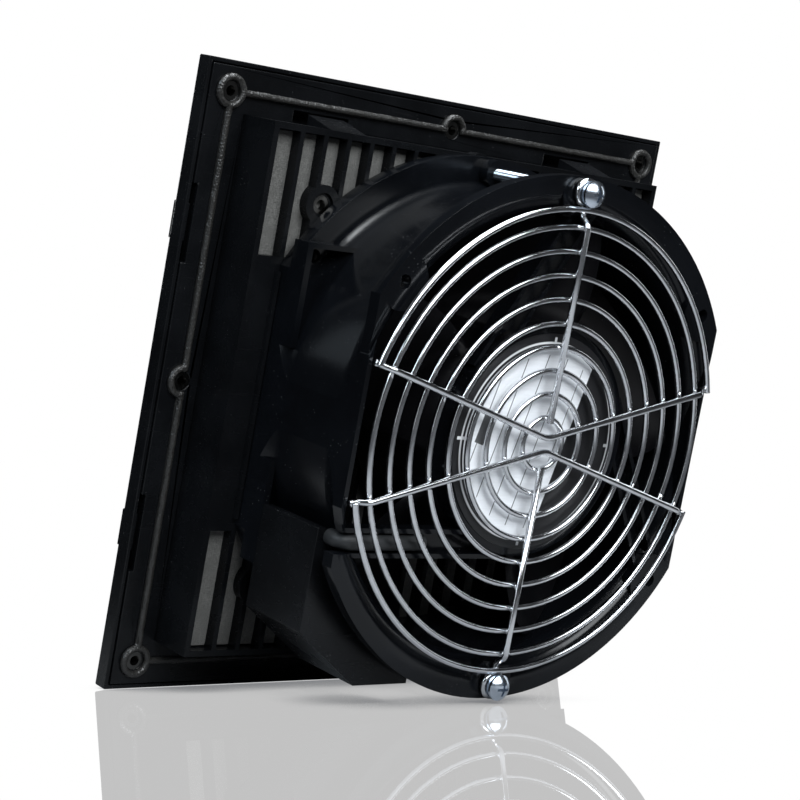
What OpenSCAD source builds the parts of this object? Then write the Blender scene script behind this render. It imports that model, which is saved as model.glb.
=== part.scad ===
// Cabinet filter fan: a square filter plate for a cabinet panel, with an axial fan and a wire finger guard.
// X runs to the right seen from the front, Y runs into the cabinet along the fan axis, Z is up.
// Y = 0 is the back face of the plate's flange, which the cabinet panel meets. All sizes are in millimetres.

/* [View] */
// Which piece to draw

/* [Plate] */
// Outer width and height of the front cover
plate_size = 204; // [190:0.5:230]
// Distance from the panel screw holes to the edge of the front cover
rim_margin = 9.5; // [8.5:0.1:12]
// Distance from the box's outside to the panel screw holes
hole_margin = 6.5; // [6:0.1:9]
// How far the box reaches behind the panel
box_depth = 17.2; // [15:0.1:24]
// Thickness of the base flange
flange_thick = 3; // [2.4:0.1:3.2]
// Thickness of the box walls
box_wall = 2; // [1.6:0.1:2.4]
// Total depth of the front cover ahead of the panel
cover_depth = 9; // [8.6:0.1:14]
// Width of the sloping edge of the front cover
cover_bevel = 4; // [2:0.5:6]
// Wall thickness of the front cover
cover_wall = 1.4; // [1:0.1:1.6]

/* [Louvres and grille] */
// Distance from the box's outside to the louvre opening
louvre_inset = 6; // [5:0.1:10]
// Distance from one louvre blade to the next
louvre_pitch = 9.2; // [8.5:0.1:11]
// Thickness of a louvre blade
louvre_thick = 1.6; // [1.2:0.1:2]
// Distance from one grille bar to the next
bar_pitch = 9.35; // [9.2:0.05:9.5]
// Width of a grille bar
bar_width = 1.7; // [1.2:0.1:2.4]
// Depth of the grille bars
bar_depth = 4.2; // [3:0.1:6]

/* [Gasket and inserts] */
// Width of the foam gasket bead
bead_width = 2.2; // [1.6:0.1:2.6]
// Height of the foam gasket bead
bead_height = 1.7; // [1.4:0.1:2.4]
// Outer diameter of a threaded insert
insert_diameter = 6; // [5.4:0.1:6.4]
// Core diameter of the insert thread
thread_core = 3.3; // [3:0.1:3.6]

/* [Fan frame] */
// Depth of the fan frame along its axis
fan_depth = 51; // [49:0.5:56]
// How far each side of the round flanges is cut back flat
flat_cut = 11; // [9:0.5:12]
// Distance from a flange's edge to the circle of lug holes
lug_inset = 5; // [4.6:0.1:6]
// Diameter of a lug hole
lug_hole = 4.5; // [4.3:0.1:5]
// Distance from a flange's edge to the air passage
throat_inset = 13; // [12:0.5:15]

/* [Impeller and motor] */
// Number of impeller blades
blade_count = 5; // [3:1:6]
// Diameter of the impeller hub
hub_diameter = 77; // [70:0.5:84]
// Angle through which a blade turns along its height
blade_turn = 48; // [30:1:55]
// Thickness of a blade measured around the axis
blade_thick = 3.6; // [2.8:0.1:4.6]
// Diameter of the motor shaft
shaft_diameter = 6; // [5:0.1:6.4]
// Outer diameter of a ball bearing
bearing_diameter = 13; // [12:0.5:14]

/* [Finger guard] */
// Diameter of the guard wire
wire_diameter = 2; // [1.6:0.1:2.2]
// Radius of the smallest guard ring
first_ring = 8.5; // [7:0.1:10]
// Distance from a flange's edge to the outer guard arcs
arc_inset = 10.3; // [10:0.1:12]
// Distance from the largest full ring to the outer arcs
arc_step = 5.7; // [5.4:0.1:7]
// Number of full guard rings
ring_count = 9; // [5:1:9]

/* [Fits] */
// Gap between the cover's rim and the base flange
cover_gap = 0.35; // [0.3:0.05:0.5]
// Running clearance between shaft and bearing, on the radius
shaft_clearance = 0.03; // [0.01:0.01:0.08]
// Gap between blade tips and air passage
tip_gap = 1.2; // [0.6:0.1:2]
// Air gap between stator and rotor
air_gap = 0.6; // [0.4:0.1:0.8]
// Gap between the terminal box and the fan barrel
box_gap = 0.5; // [0.3:0.1:1]

/* [Hidden] */
$fn = 72;

// Plate, worked inwards from its outer edge
plate_half = plate_size / 2;
cover_inner = plate_half - cover_wall;
base_half = cover_inner - cover_gap;
hole_half = plate_half - rim_margin;
box_half = hole_half - hole_margin;
box_size = 2 * box_half;
box_inner = box_half - box_wall;
rim_end = -0.4;
rim_front = -6;
face_thick = 2;
frame_wide = 1.6;
louvre_wide = box_size - 2 * louvre_inset;
louvre_count = floor(louvre_wide / louvre_pitch);
louvre_tall = louvre_pitch * louvre_count;
louvre_back = -1.2;
slot_end = box_half - 42.5;
bar_count = floor((box_inner - 8) / bar_pitch);
bar_back = box_depth - bar_depth;
snap_from = box_half - 37;
snap_to = box_half - 22.5;
snap_high = 3.4;
window_from = snap_from - 4.5;
window_to = snap_to + 3.5;
pry_at = 50;
pry_long = 25;
pry_deep = 1.6;
insert_radius = insert_diameter / 2;
insert_front = -6.2;
insert_back = 0;
bead_ring = insert_radius + 1.4;
corner_at = box_half - 23.7;
corner_pad = insert_radius + 3.5;

// Fan frame, with flanges as wide as the box
fan_front = box_depth;
fan_back = box_depth + fan_depth;
flange_radius = box_half;
flat_half = flange_radius - flat_cut;
flat_wall = 1.7;
throat_radius = flange_radius - throat_inset;
lug_radius = flange_radius - lug_inset;
lug_angle = 55;
lug_pad = 9;
lug_x = lug_radius * sin(lug_angle);
lug_z = lug_radius * cos(lug_angle);
front_flange_end = fan_front + 5.5;
back_flange = fan_back - 4.5;
barrel_radius = throat_radius + 2.4;
far_flare = 2.4;
far_flare_long = 9;
near_flare = 2.9;
near_flare_long = 8;
collar_radius = throat_radius + 5.6;
bell_radius = 9.5;
mouth_radius = 4;
joint_gap = 0.05;
rib_top = fan_front + 12.8;
rib_level = lug_z + 4;
rib_thick = 1.6;
hub_radius = hub_diameter / 2;
disc_back = fan_back - 6.9;
disc_face = fan_back - 0.2;
disc_radius = hub_radius - 0.5;
label_radius = disc_radius - 2.6;
label_thick = 0.35;
tube_radius = bearing_diameter / 2 + 2.5;
spoke_offset = disc_radius - 3.5;
spoke_wide = 9.4;
spoke_wall = 1.5;
spoke_face = fan_back - 1.2;
lead_radius = 2.6;
lead_level = disc_back + spoke_wall + lead_radius + 0.1;
lead_bend = 3.6;
lead_reach = flat_half - 5;
lead_slot = lead_radius + 0.6;

// Impeller and motor
hub_front = fan_front + 3.8;
rotor_end = disc_back - 1.3;
cup_radius = hub_radius - 4.9;
cup_front = hub_front + 5;
cup_end = rotor_end - 2;
cup_wall = 2.2;
rotor_bore = cup_radius - 3.4;
core_radius = rotor_bore - air_gap;
core_front = cup_front + 7;
core_end = disc_back - 9.3;
shaft_radius = shaft_diameter / 2;
blade_front = hub_front + 3.5;
blade_end = rotor_end - 2.5;
tip_radius = throat_radius - tip_gap;
front_bearing = core_front + 1;
back_bearing = disc_back - 8.3;
bearing_wide = 5;
washer_front = back_bearing + bearing_wide + 0.35;
ring_front = washer_front + 1.5;
ring_wide = 0.7;
slot_count = 8;
slot_depth = 9;
slot_radius = 4.4;
slot_mouth = 2.4;
coil_radius = slot_radius - 0.5;
turns_wide = 14;
turns_out = core_radius - 2.5;
front_turns = 3.6;
back_turns = 5.3;

// Terminal box on the fan's side
tbox_front = rib_top;
tbox_lid = fan_back - 11.2;
tbox_end = fan_back - 9.2;
tbox_top = 2.5 - spoke_offset;
tbox_low = 3 - flange_radius;
tbox_wall = 1.8;
tbox_inner = barrel_radius + far_flare + box_gap;
tbox_corner = 25;
tbox_long = 47;
block_angle = 40;
block_in = tbox_inner + tbox_wall + 0.6;
block_wide = 13;
block_deep = 6.8;
block_end = tbox_front + 14;
clamp_radius = 1.9;
clamp_at = 3.1;
entry_x = flat_half - 35;
entry_y = tbox_front + 14;
entry_radius = 4;
cord_radius = 2.6;

// Finger guard and its screws
wire_radius = wire_diameter / 2;
arm_radius = wire_radius + 0.1;
guard_plane = fan_back + 2.6;
arm_plane = guard_plane + wire_radius + arm_radius - 0.15;
eye_wire = arm_radius + 0.05;
eye_plane = fan_back + eye_wire;
eye_radius = 3.7;
arc_plane = eye_plane + arm_radius + wire_radius - 0.15;
arc_radius = flange_radius - arc_inset;
last_ring = arc_radius - arc_step;
ring_pitch = (last_ring - first_ring) / (ring_count - 1);
arc_start = 16;
arm_apex = 2.4;
arm_angle = 15;
apex_bend = 8;
knee_at = last_ring - 0.4;
knee_bend = 2.5;
knee_angle = 50;
knee_slope = (arm_plane - eye_plane - 2 * knee_bend * (1 - cos(knee_angle))) / sin(knee_angle);
knee_run = 2 * knee_bend * sin(knee_angle) + knee_slope * cos(knee_angle);
arm_off = apex_bend - (arm_apex + apex_bend) * cos(arm_angle);
screw_radius = 2;
washer_seat = eye_plane + eye_wire;
washer_thick = 0.8;
spring_thick = 1.1;
head_seat = washer_seat + washer_thick + spring_thick;

// Length along a crossing arm, from its bend at the middle, out to radius r
function arm_reach(r) = sqrt(r * r - arm_off * arm_off) - (arm_apex + apex_bend) * sin(arm_angle);

// Extrudes a flat shape, drawn in X and Z, from y0 to y1
module slab(y0, y1) {
  translate([0, y1, 0]) rotate([90, 0, 0]) linear_extrude(y1 - y0) children();
}

// Extrudes a flat shape, drawn in Y and Z, from x0 to x1
module along_x(x0, x1) {
  translate([x0, 0, 0]) rotate([90, 0, 90]) linear_extrude(x1 - x0) children();
}

// Extrudes a flat shape, drawn in X and Y, from z0 to z1
module along_z(z0, z1) {
  translate([0, 0, z0]) linear_extrude(z1 - z0) children();
}

// Turns a profile, drawn as radius and Y, about the Y axis
module turned() {
  rotate([-90, 0, 0]) rotate_extrude() children();
}

// Round bar along Y
module rod_y(r, y0, y1, x = 0, z = 0) {
  translate([x, y0, z]) rotate([-90, 0, 0]) cylinder(r = r, h = y1 - y0);
}

// Round bar along X
module rod_x(r, x0, x1, y, z) {
  translate([x0, y, z]) rotate([0, 90, 0]) cylinder(r = r, h = x1 - x0);
}

// Block between two corners
module block(x0, x1, y0, y1, z0, z1) {
  translate([x0, y0, z0]) cube([x1 - x0, y1 - y0, z1 - z0]);
}

// Copies to both sides of X = 0 and of Z = 0
module four_ways() {
  for (sx = [0, 1]) {
    for (sz = [0, 1]) {
      mirror([sx, 0, 0]) mirror([0, 0, sz]) children();
    }
  }
}

// Copies to both sides of Z = 0
module above_below() {
  for (sz = [0, 1]) {
    mirror([0, 0, sz]) children();
  }
}

// Copies to the eight panel screw holes: four corners and four edge middles
module panel_holes() {
  for (px = [-1, 0, 1]) {
    for (pz = [-1, 0, 1]) {
      if (px != 0 || pz != 0) {
        translate([px * hole_half, 0, pz * hole_half]) children();
      }
    }
  }
}

// Copies to the six lugs of the front flange
module lugs() {
  for (a = [0, lug_angle, 180 - lug_angle, 180, 180 + lug_angle, 360 - lug_angle]) {
    translate([lug_radius * sin(a), 0, lug_radius * cos(a)]) children();
  }
}

// Copies to the five lugs of the rear flange, which has none above the terminal box
module rear_lugs() {
  for (a = [0, lug_angle, 180, 180 + lug_angle, 360 - lug_angle]) {
    translate([lug_radius * sin(a), 0, lug_radius * cos(a)]) children();
  }
}

// Copies to the four corner pads of the grille
module corners() {
  for (sx = [-1, 1]) {
    for (sz = [-1, 1]) {
      translate([sx * corner_at, 0, sz * corner_at]) children();
    }
  }
}

// Outline of the cover with its sloping edge, as a profile across the plate
module cover_profile() {
  polygon([[-plate_half, rim_end], [-plate_half, rim_front], [cover_bevel - plate_half, -cover_depth],
    [plate_half - cover_bevel, -cover_depth], [plate_half, rim_front], [plate_half, rim_end]]);
}

// One slanting louvre blade, as a profile in Y and Z
module louvre_profile() {
  lean = 4.1;
  polygon([[-cover_depth, -lean], [-cover_depth, louvre_thick - lean], [louvre_back, lean],
    [louvre_back, lean - louvre_thick]]);
}

// Front cover with louvres, rim and snap tongues
module front_cover() {
  color([0.07, 0.07, 0.075]) {
    difference() {
      intersection() {
        along_z(-plate_half, plate_half) cover_profile();
        rotate([0, 90, 0]) along_z(-plate_half, plate_half) cover_profile();
      }
      block(-cover_inner, cover_inner, face_thick - cover_depth, 1, -cover_inner, cover_inner);
      block(-louvre_wide / 2, louvre_wide / 2, -cover_depth - 1, 1, -louvre_tall / 2, louvre_tall / 2);
    }
    slab(-cover_depth, louvre_back) difference() {
      square([louvre_wide + 2 * frame_wide, louvre_tall + 2 * frame_wide], center = true);
      square([louvre_wide, louvre_tall], center = true);
    }
    for (i = [0 : louvre_count - 1]) {
      translate([0, 0, (i - (louvre_count - 1) / 2) * louvre_pitch]) {
        along_x(-louvre_wide / 2 - 1, louvre_wide / 2 + 1) louvre_profile();
      }
    }
    for (x = [-40, 0, 40]) {
      block(x - 0.8, x + 0.8, -cover_depth + 2.4, louvre_back, -louvre_tall / 2 - 1, louvre_tall / 2 + 1);
    }
    four_ways() {
      block(cover_inner - 1.2, cover_inner + 0.2, 0.5 - cover_depth, -1.6, pry_at - 6, pry_at + 6);
    }
  }
}

// Base flange with the bosses for the panel screws
module base_frame() {
  color([0.06, 0.06, 0.065]) difference() {
    union() {
      slab(-flange_thick, 0) difference() {
        square(2 * base_half, center = true);
        square(box_size, center = true);
      }
      panel_holes() rod_y(insert_radius + 1.6, insert_front, 0.1 - flange_thick);
    }
    panel_holes() rod_y(insert_radius, insert_front - 1, 1);
    four_ways() {
      block(window_from, window_to, -flange_thick - 1, 1, box_half - 1, box_half + 4);
      block(base_half - pry_deep, base_half + 1, -flange_thick - 1, 1,
        pry_at - pry_long / 2, pry_at + pry_long / 2);
    }
  }
}

// Flat pattern of the rear grille: upright bars, three cross bars, corner pads and screw pads
module grille_pattern() {
  for (k = [-bar_count : bar_count]) {
    translate([k * bar_pitch, 0]) square([bar_width, 2 * box_inner + 0.2], center = true);
  }
  for (z = [-slot_end, 0, slot_end]) {
    translate([0, z]) square([2 * box_inner + 0.2, bar_width], center = true);
  }
  for (sx = [-1, 1]) {
    for (sz = [-1, 1]) {
      translate([sx * corner_at, sz * corner_at]) circle(corner_pad);
    }
  }
  for (sz = [-1, 1]) {
    translate([0, sz * lug_radius]) circle(insert_radius + 2.8);
  }
}

// Box through the panel cut-out, with its rear grille, snap hooks and ribs that hold the fan's flats
module filter_box() {
  color([0.06, 0.06, 0.065]) difference() {
    union() {
      slab(-flange_thick, box_depth) difference() {
        square(box_size, center = true);
        square(2 * box_inner, center = true);
      }
      slab(bar_back, box_depth) grille_pattern();
      for (sx = [0, 1]) {
        mirror([sx, 0, 0]) {
          block(bar_count * bar_pitch, box_inner + 0.1, box_depth - 2, box_depth, -slot_end, slot_end);
          block(flat_half + 0.4, flat_half + 1.6, box_depth - 0.5, box_depth + 1.8,
            3.5 - slot_end, slot_end - 3.5);
        }
      }
      four_ways() along_x(snap_from, snap_to) {
        polygon([[3.2, box_half - 0.5], [3.2, box_half + snap_high], [box_depth - 0.8, box_half],
          [box_depth - 0.8, box_half - 0.5]]);
      }
    }
    corners() {
      rod_y(insert_radius, bar_back - 1, box_depth + 1);
      rod_y(insert_radius + 1, box_depth - 1, box_depth + 1);
    }
    for (sz = [-1, 1]) {
      rod_y(insert_radius, bar_back - 1, box_depth + 1, 0, sz * lug_radius);
    }
  }
}

// Fleece filter mat that lies in the box against the grille
module filter_mat() {
  color([0.62, 0.62, 0.6]) slab(1, bar_back) square(2 * box_inner - 1, center = true);
}

// Round-topped cross-section of the gasket bead
module bead_section() {
  translate([-bead_width / 2, 0]) square([bead_width, bead_height - bead_width / 2]);
  translate([0, bead_height - bead_width / 2]) circle(bead_width / 2);
}

// Bead section trimmed to stay on its own side of the flange
module bead_profile() {
  intersection() {
    bead_section();
    translate([-bead_width, 0]) square([2 * bead_width, bead_height]);
  }
}

// One side of the gasket: two straight runs and the loop round the middle hole
module gasket_side() {
  translate([0, 0, hole_half]) {
    for (sx = [0, 1]) {
      mirror([sx, 0, 0]) {
        along_x(bead_ring - bead_width / 2, hole_half - bead_ring) {
          rotate([0, 0, -90]) mirror([1, 0]) bead_profile();
        }
      }
    }
    rotate([0, 180, 0]) rotate([-90, 0, 0]) rotate_extrude(angle = 180) {
      translate([bead_ring, 0]) bead_profile();
    }
  }
}

// Foam gasket bead on the flange, with a ring round each corner hole
module panel_gasket() {
  color([0.24, 0.24, 0.24]) {
    for (a = [0, 90, 180, 270]) {
      rotate([0, a, 0]) gasket_side();
    }
    for (sx = [-1, 1]) {
      for (sz = [-1, 1]) {
        translate([sx * hole_half, 0, sz * hole_half]) turned() translate([bead_ring, 0]) bead_profile();
      }
    }
  }
}

// Threaded insert with two knurled bands and a groove between them
module insert(y0, y1, core) {
  middle = (y0 + y1) / 2;
  turned() difference() {
    translate([core, y0]) square([insert_radius - core, y1 - y0]);
    translate([insert_radius - 0.35, middle - 0.6]) square([1, 1.2]);
  }
}

// Eight threaded inserts for the panel screws
module panel_inserts() {
  color([0.75, 0.72, 0.66]) panel_holes() insert(insert_front, insert_back, thread_core / 2);
}

// Four spare threaded inserts in the corner bosses of the grille
module corner_inserts() {
  color([0.75, 0.72, 0.66]) corners() insert(bar_back, box_depth - 1.2, thread_core / 2);
}

// Two threaded inserts that the long guard screws bite into
module fan_inserts() {
  color([0.75, 0.72, 0.66]) for (sz = [-1, 1]) {
    translate([0, 0, sz * lug_radius]) insert(bar_back, box_depth, screw_radius);
  }
}

// Outside of the barrel with a flare at each flange and a collar in the rear one, grown by a clearance
module barrel_profile(grow = 0) {
  inner = throat_radius - 4;
  far_round = (far_flare_long * far_flare_long + far_flare * far_flare) / (2 * far_flare);
  near_round = (near_flare_long * near_flare_long + near_flare * near_flare) / (2 * near_flare);
  translate([inner, front_flange_end]) square([barrel_radius + grow - inner, fan_back - front_flange_end]);
  difference() {
    translate([inner, front_flange_end]) square([barrel_radius + far_flare + grow - inner, far_flare_long]);
    translate([barrel_radius + far_round, front_flange_end + far_flare_long]) circle(far_round - grow);
  }
  difference() {
    translate([inner, back_flange - near_flare_long]) {
      square([barrel_radius + near_flare + grow - inner, near_flare_long]);
    }
    translate([barrel_radius + near_round, back_flange - near_flare_long]) circle(near_round - grow);
  }
  translate([inner, back_flange]) square([collar_radius + grow - inner, fan_back - back_flange]);
}

// Air passage with a rounded mouth at each end, drawn in by a clearance
module passage_profile(inset = 0) {
  translate([0, fan_front - 1]) square([throat_radius - inset, fan_depth + 2]);
  difference() {
    translate([throat_radius - 1, fan_back - bell_radius]) square([bell_radius + 1, bell_radius + 1]);
    translate([throat_radius + bell_radius, fan_back - bell_radius]) circle(bell_radius + inset);
  }
  difference() {
    translate([throat_radius - 1, fan_front - 1]) square([mouth_radius + 1, mouth_radius + 1]);
    translate([throat_radius + mouth_radius, fan_front + mouth_radius]) circle(mouth_radius + inset);
  }
}

// Air passage as a solid, held in from the flat sides
module passage() {
  intersection() {
    turned() passage_profile();
    block(flat_wall - flat_half, flat_half - flat_wall, fan_front - 1, fan_back + 1,
      -flange_radius - 5, flange_radius + 5);
  }
}

// Room between the two planes of the flat sides
module between_flats() {
  block(-flat_half, flat_half, fan_front, fan_back, -flange_radius, flange_radius);
}

// Slot that lets the motor leads out through barrel and rear flange
module lead_opening() {
  block(throat_radius - 11, flat_half + 1, lead_level - lead_slot, fan_back + 1,
    -spoke_offset - lead_slot, lead_slot - spoke_offset);
  rod_y(lead_radius + 0.4, tbox_end - 0.5, fan_back + 1, lead_reach, -spoke_offset);
}

// Front flange of the fan frame with its lug holes
module front_flange() {
  color([0.05, 0.05, 0.055]) difference() {
    intersection() {
      turned() translate([throat_radius - 4, fan_front]) {
        square([flange_radius + 4 - throat_radius, front_flange_end - fan_front]);
      }
      between_flats();
    }
    passage();
    lugs() rod_y(lug_hole / 2, fan_front - 1, fan_back);
  }
}

// Barrel of the fan frame between the flanges, with its screw bosses, stiffening walls and rounded mouth
module fan_housing() {
  color([0.05, 0.05, 0.055]) difference() {
    intersection() {
      union() {
        turned() barrel_profile();
        above_below() rod_y(lug_inset - 0.3, front_flange_end, front_flange_end + 4, 0, lug_radius);
        four_ways() {
          block(flat_half - 2.2, flat_half, front_flange_end, rib_top, 18, rib_level + rib_thick / 2);
          block(lug_z + 6, flat_half, front_flange_end, rib_top,
            rib_level - rib_thick / 2, rib_level + rib_thick / 2);
        }
      }
      between_flats();
    }
    passage();
    above_below() rod_y(lug_hole / 2, front_flange_end - 1, front_flange_end + 5, 0, lug_radius);
    lead_opening();
  }
}

// Rear flange of the fan frame with its lug pads
module rear_flange() {
  color([0.05, 0.05, 0.055]) difference() {
    intersection() {
      union() {
        difference() {
          turned() translate([collar_radius, back_flange]) {
            square([flange_radius - collar_radius, fan_back - back_flange]);
          }
          turned() passage_profile();
        }
        rear_lugs() rod_y(lug_pad, back_flange, fan_back);
      }
      rod_y(flange_radius, fan_front, fan_back);
      between_flats();
    }
    turned() difference() {
      barrel_profile(joint_gap);
      passage_profile(joint_gap);
    }
    rod_y(throat_radius + 0.5, fan_front, fan_back + 1);
    rear_lugs() rod_y(lug_hole / 2, fan_front, fan_back + 1);
    lead_opening();
    block(collar_radius - 10, flat_half + 1, fan_front, fan_back + 1, -spoke_offset, 0);
  }
}

// One slanting spoke: an open channel from the motor disc to the barrel
module spoke() {
  difference() {
    block(4, flange_radius, disc_back, spoke_face,
      -spoke_offset - spoke_wide / 2, spoke_wide / 2 - spoke_offset);
    block(3, flange_radius + 1, disc_back + spoke_wall, spoke_face + 1,
      spoke_wall - spoke_offset - spoke_wide / 2, spoke_wide / 2 - spoke_wall - spoke_offset);
  }
}

// Motor carrier of the fan frame: three spokes, motor disc and bearing tube
module motor_mount() {
  color([0.05, 0.05, 0.055]) difference() {
    union() {
      difference() {
        intersection() {
          for (a = [0, -120, 120]) {
            rotate([0, a, 0]) spoke();
          }
          turned() passage_profile(2 * joint_gap);
        }
        rod_y(disc_radius - 1, disc_back - 1, fan_back);
        rear_lugs() rod_y(lug_pad + 2 * joint_gap, back_flange - 2 * joint_gap, fan_back + 1);
      }
      rod_y(disc_radius, disc_back, disc_face);
      rod_y(tube_radius, core_front, disc_back + 0.5);
    }
    rod_y(bearing_diameter / 2, core_front - 1, disc_back + 1.4);
  }
}

// Flat outline of one blade seen along the axis, swept back towards its tip
module blade_outline() {
  steps = 5;
  root = hub_radius - 0.8;
  sweep = 9;
  lead = [for (i = [0 : steps]) let (u = i / steps, r = root + (tip_radius - root) * u, a = sweep * u * u)
    [r * cos(a), r * sin(a)]];
  trail = [for (i = [steps : -1 : 0]) let (u = i / steps, r = root + (tip_radius - root) * u,
    a = sweep * u * u + blade_thick * (1 - 0.3 * u) / r * 57.3) [r * cos(a), r * sin(a)]];
  polygon(concat(lead, trail));
}

// Impeller: hub and twisted blades
module impeller() {
  color([0.07, 0.07, 0.075]) {
    turned() polygon([[0, hub_front], [hub_radius - 2, hub_front], [hub_radius, hub_front + 2],
      [hub_radius, rotor_end], [cup_radius, rotor_end], [cup_radius, cup_front], [0, cup_front]]);
    for (i = [0 : blade_count - 1]) {
      rotate([0, 3 + i * 360 / blade_count, 0]) translate([0, blade_front, 0]) rotate([-90, 0, 0]) {
        linear_extrude(height = blade_end - blade_front, twist = blade_turn, slices = 12, $fn = 16) {
          blade_outline();
        }
      }
    }
  }
}

// Steel rotor cup pressed into the impeller hub
module rotor_cup() {
  color([0.45, 0.46, 0.48]) turned() polygon([[shaft_radius, cup_front], [cup_radius, cup_front],
    [cup_radius, cup_end], [rotor_bore, cup_end], [rotor_bore, cup_front + cup_wall],
    [shaft_radius + 3.5, cup_front + cup_wall], [shaft_radius + 3.5, cup_front + 5.5],
    [shaft_radius, cup_front + 5.5]]);
}

// Motor shaft with a groove for the retaining ring
module motor_shaft() {
  color([0.75, 0.76, 0.78]) turned() polygon([[0, cup_front], [shaft_radius, cup_front],
    [shaft_radius, ring_front], [shaft_radius - 0.5, ring_front],
    [shaft_radius - 0.5, ring_front + ring_wide],
    [shaft_radius, ring_front + ring_wide], [shaft_radius, disc_back - 0.4], [shaft_radius - 0.4, disc_back],
    [0, disc_back]]);
}

// One ball bearing with shield grooves on both faces
module bearing(y0) {
  bore = shaft_radius + shaft_clearance;
  outer = bearing_diameter / 2;
  turned() difference() {
    translate([bore, y0]) square([outer - bore, bearing_wide]);
    for (y = [y0 - 0.5, y0 + bearing_wide - 0.5]) {
      translate([bore + 1, y]) square([outer - bore - 2, 1]);
    }
  }
}

// Two ball bearings in the bearing tube
module ball_bearings() {
  color([0.7, 0.71, 0.73]) {
    bearing(front_bearing);
    bearing(back_bearing);
  }
}

// Thrust washer between the back bearing and the retaining ring
module thrust_washer() {
  color([0.8, 0.76, 0.6]) turned() translate([shaft_radius, washer_front]) square([1.9, 1.5]);
}

// Open retaining ring in the shaft groove
module retaining_ring() {
  color([0.3, 0.3, 0.32]) difference() {
    turned() translate([shaft_radius - 0.5, ring_front]) square([2, ring_wide]);
    block(0, 6, ring_front - 1, ring_front + 2, -1.2, 1.2);
  }
}

// Stator lamination stack with winding slots
module stator_core() {
  color([0.4, 0.41, 0.43]) slab(core_front, core_end) difference() {
    circle(core_radius);
    circle(tube_radius);
    for (i = [0 : slot_count - 1]) {
      rotate(i * 360 / slot_count) {
        translate([core_radius - slot_depth, 0]) circle(slot_radius);
        translate([core_radius - slot_depth, -slot_mouth / 2]) square([slot_depth + 3, slot_mouth]);
      }
    }
  }
}

// Copper windings: end turns on both faces and the coil sides in the slots
module stator_windings() {
  color([0.72, 0.4, 0.2]) {
    turned() translate([turns_out - turns_wide, core_front - front_turns]) square([turns_wide, front_turns]);
    turned() translate([turns_out - turns_wide, core_end]) square([turns_wide, back_turns]);
    slab(core_front - 0.1, core_end + 0.1) for (i = [0 : slot_count - 1]) {
      rotate(i * 360 / slot_count) translate([core_radius - slot_depth, 0]) circle(coil_radius);
    }
  }
}

// Blank foil label disc on the motor
module motor_label() {
  color([0.75, 0.75, 0.76]) rod_y(label_radius, disc_face, disc_face + label_thick);
}

// Sleeve over the motor leads, in the spoke's channel and down into the terminal box
module lead_sleeve() {
  turn_at = lead_reach - lead_bend;
  color([0.35, 0.36, 0.37]) {
    rod_x(lead_radius, disc_radius + 0.4, turn_at, lead_level, -spoke_offset);
    translate([turn_at, lead_level - lead_bend, -spoke_offset]) {
      rotate_extrude(angle = 90) translate([lead_bend, 0]) circle(lead_radius);
    }
    rod_y(lead_radius, tbox_end, lead_level - lead_bend, lead_reach, -spoke_offset);
  }
}

// Outline of the terminal box beside the barrel, drawn in by an inset
module tbox_outline(inset) {
  difference() {
    polygon([[flat_half - inset, tbox_top - inset], [flat_half - inset, tbox_low + 18 + 0.51 * inset],
      [flat_half - tbox_corner - 0.32 * inset, tbox_low + inset],
      [flat_half - tbox_long + inset, tbox_low + inset], [flat_half - tbox_long + inset, tbox_low + 23],
      [flat_half - tbox_corner, tbox_top - inset]]);
    circle(tbox_inner + inset);
  }
}

// Terminal box housing between the fan flanges
module terminal_box() {
  color([0.06, 0.06, 0.065]) difference() {
    slab(tbox_front, tbox_lid) tbox_outline(0);
    slab(tbox_front + tbox_wall, tbox_lid + 1) tbox_outline(tbox_wall);
    rod_y(lug_hole / 2, tbox_front - 1, tbox_front + 3, lug_x, -lug_z);
    rod_y(3.3, tbox_front + tbox_wall, tbox_front + tbox_wall + 3, lug_x, -lug_z);
    translate([entry_x, entry_y, tbox_low - 1]) cylinder(r = entry_radius, h = 4);
  }
}

// Lid of the terminal box with a locating lip
module terminal_lid() {
  color([0.06, 0.06, 0.065]) {
    slab(tbox_lid, tbox_end) tbox_outline(0);
    slab(tbox_lid - 1.6, tbox_lid + 0.1) tbox_outline(tbox_wall + 0.25);
  }
}

// Places the terminal block and its screws in the corner of the box
module at_block() {
  rotate([0, -block_angle, 0]) translate([0, 0, -block_in - block_deep / 2]) children();
}

// Terminal block inside the box
module terminal_block() {
  color([0.8, 0.8, 0.76]) at_block() difference() {
    block(-block_wide / 2, block_wide / 2, tbox_front + tbox_wall, block_end,
      -block_deep / 2, block_deep / 2);
    for (x = [-clamp_at, clamp_at]) {
      rod_y(clamp_radius, block_end - 6, block_end + 1, x);
    }
  }
}

// Clamping screws of the terminal block
module terminal_screws() {
  color([0.78, 0.74, 0.6]) at_block() for (x = [-clamp_at, clamp_at]) {
    difference() {
      rod_y(clamp_radius, block_end - 6, block_end - 1, x);
      block(x - 2, x + 2, block_end - 1.8, block_end, -0.3, 0.3);
    }
  }
}

// Screw that holds the terminal box to the fan's front lug
module box_screw() {
  seat = tbox_front + tbox_wall;
  color([0.75, 0.76, 0.78]) translate([lug_x, 0, -lug_z]) difference() {
    union() {
      rod_y(lug_hole / 2, fan_front + 0.5, seat + 0.5);
      rod_y(2.9, seat, seat + 2.2);
    }
    block(-4, 4, seat + 1.4, seat + 3, -0.5, 0.5);
  }
}

// Rubber grommet in the terminal box's cable entry
module cable_grommet() {
  color([0.1, 0.1, 0.1]) translate([entry_x, entry_y, tbox_low]) rotate_extrude() {
    translate([cord_radius, -1.3]) square([entry_radius + 1.5 - cord_radius, 1.3]);
    translate([cord_radius, -0.1]) square([entry_radius - cord_radius, tbox_wall + 0.1]);
  }
}

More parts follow.
